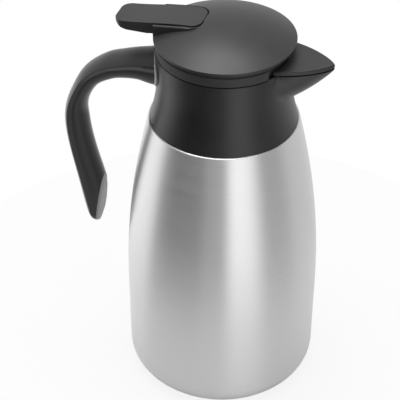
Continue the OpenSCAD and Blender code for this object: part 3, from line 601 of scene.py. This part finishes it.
def add_coil():
    """The valve's return spring, with closed ends."""
    low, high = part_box("return_spring")
    low_z, high_z = low[2] / MM + SPRING_WIRE, high[2] / MM - SPRING_WIRE
    total = SPRING_TURNS + 2
    rings = []
    for k in range(total * SPRING_STEPS + 1):
        turn = k / SPRING_STEPS
        if turn < 1:
            z = low_z + END_CLIMB * turn
        elif turn > total - 1:
            z = high_z - END_CLIMB * (total - turn)
        else:
            z = low_z + END_CLIMB + (high_z - low_z - 2 * END_CLIMB) * (turn - 1) / SPRING_TURNS
        a = 2 * math.pi * turn
        ring = []
        for j in range(SPRING_SIDES):
            b = 2 * math.pi * j / SPRING_SIDES
            r = SPRING_R + SPRING_WIRE * math.cos(b)
            ring.append((r * math.cos(a), r * math.sin(a), z + SPRING_WIRE * math.sin(b)))
        rings.append(ring)
    coil = add_mesh("spring_coil", flat_list(rings), ring_faces(len(rings), SPRING_SIDES),
                    [wire_steel], "lid", sharp=50.0)
    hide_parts("return_spring")
    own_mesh(coil)


add_grip()
add_pad()
add_shadow_lines()
add_spout_skin()
add_lever_shadow()
add_coil()


# Floor and light ----------------------------------------------------------

FLOOR_R, FLOOR_DROP = 0.26, 0.0002
# How much of what the camera sees of the floor is plain white
FLOOR_WHITE = 0.85


def add_floor():
    """A round pale floor, which keeps the object's shadow."""
    bm = bmesh.new()
    bmesh.ops.create_circle(bm, cap_ends=True, segments=128, radius=FLOOR_R)
    mesh = bpy.data.meshes.new("floor")
    bm.to_mesh(mesh)
    obj = bpy.data.objects.new("floor", mesh)
    bpy.context.scene.collection.objects.link(obj)
    obj.location = (0, 0, -FLOOR_DROP)
    m = Mat("floor_white")
    n = m.noise(60.0, 2.0)
    m.tinted(n, (0.72, 0.72, 0.72), (0.74, 0.74, 0.74))
    m.set(Roughness=0.7)
    glow = m.node("ShaderNodeEmission")
    path = m.node("ShaderNodeLightPath")
    share = m.node("ShaderNodeMath", operation="MULTIPLY")
    share.inputs[1].default_value = FLOOR_WHITE
    m.link(path, "Is Camera Ray", share, 0)
    mix = m.node("ShaderNodeMixShader")
    m.link(share, "Value", mix, 0)
    m.link(m.bsdf, "BSDF", mix, 1)
    m.link(glow, "Emission", mix, 2)
    m.link(mix, "Shader", m.out, "Surface")
    obj.data.materials.append(m.mat)


# Where the camera stands round the object, in degrees from +X
CAM_AZIMUTH = -73.8
LIGHT_TARGET = Vector((0, 0, 0.18))


def add_area(name, azimuth, elevation, distance, size, power):
    """A rectangular lamp. azimuth is measured from the camera's side, positive to its right."""
    data = bpy.data.lights.new(name, "AREA")
    data.shape = "RECTANGLE"
    data.size, data.size_y = size
    data.energy = power
    obj = bpy.data.objects.new(name, data)
    bpy.context.scene.collection.objects.link(obj)
    a = math.radians(CAM_AZIMUTH + azimuth)
    e = math.radians(elevation)
    away = Vector((math.cos(e) * math.cos(a), math.cos(e) * math.sin(a), math.sin(e)))
    obj.location = LIGHT_TARGET + away * distance
    obj.rotation_euler = (-away).to_track_quat("-Z", "Y").to_euler()


# Brightness of the room's upright panels, by degrees from the camera's side
BANDS = [(-180, 0.9), (-125, 1.35), (-98, 1.2), (-78, 0.2), (-60, 0.05), (-29, 0.04), (-18, 0.26),
         (0, 0.27), (13, 1.5), (30, 1.4), (56, 0.38), (74, 0.42), (100, 0.7), (180, 0.9)]
# Brightness of the ceiling, and the heights (as sines) between which it takes over
SKY, SKY_FROM, SKY_TO = 0.7, 0.15, 0.5


def add_world():
    """Soft studio: upright panels of differing brightness all round, and an even ceiling."""
    world = bpy.data.worlds.new("studio")
    bpy.context.scene.world = world
    world.use_nodes = True
    t = world.node_tree
    t.nodes.clear()

    def node(kind, **values):
        n = t.nodes.new(kind)
        for key, value in values.items():
            setattr(n, key, value)
        return n

    def math_node(op, a, b=None, c=None):
        n = node("ShaderNodeMath", operation=op)
        for i, v in enumerate((a, b, c)):
            if isinstance(v, (int, float)):
                n.inputs[i].default_value = v
            elif v is not None:
                t.links.new(v, n.inputs[i])
        return n.outputs[0]

    coord = node("ShaderNodeTexCoord")
    split = node("ShaderNodeSeparateXYZ")
    t.links.new(coord.outputs["Generated"], split.inputs[0])
    angle = math_node("ARCTAN2", split.outputs["Y"], split.outputs["X"])
    turned = math_node("MULTIPLY_ADD", angle, 1 / (2 * math.pi), 1.5 - CAM_AZIMUTH / 360.0)
    ramp = node("ShaderNodeValToRGB")
    ramp.color_ramp.interpolation = "EASE"
    els = ramp.color_ramp.elements
    while len(els) < len(BANDS):
        els.new(0.5)
    for el, (deg, v) in zip(els, BANDS):
        el.position = (deg + 180) / 360.0
        el.color = (v, v, v, 1)
    t.links.new(math_node("FRACT", turned), ramp.inputs["Fac"])
    up = node("ShaderNodeMapRange", interpolation_type="SMOOTHSTEP")
    up.inputs["From Min"].default_value = SKY_FROM
    up.inputs["From Max"].default_value = SKY_TO
    t.links.new(split.outputs["Z"], up.inputs["Value"])
    mixed = node("ShaderNodeMix", data_type="RGBA")
    t.links.new(up.outputs["Result"], mixed.inputs["Factor"])
    for socket in mixed.inputs:
        if socket.type == "RGBA" and socket.name == "A":
            t.links.new(ramp.outputs["Color"], socket)
        if socket.type == "RGBA" and socket.name == "B":
            socket.default_value = (SKY, SKY, SKY, 1)
    light = node("ShaderNodeBackground")
    colour = [o for o in mixed.outputs if o.type == "RGBA"][0]
    t.links.new(colour, light.inputs["Color"])
    white = node("ShaderNodeBackground")
    path = node("ShaderNodeLightPath")
    white.inputs["Color"].default_value = (1, 1, 1, 1)
    mix = node("ShaderNodeMixShader")
    out = node("ShaderNodeOutputWorld")
    t.links.new(path.outputs["Is Camera Ray"], mix.inputs[0])
    t.links.new(light.outputs[0], mix.inputs[1])
    t.links.new(white.outputs[0], mix.inputs[2])
    t.links.new(mix.outputs[0], out.inputs["Surface"])


add_floor()
add_world()
add_area("key", -115, 84.5, 1.0, (0.6, 0.65), 7.9)
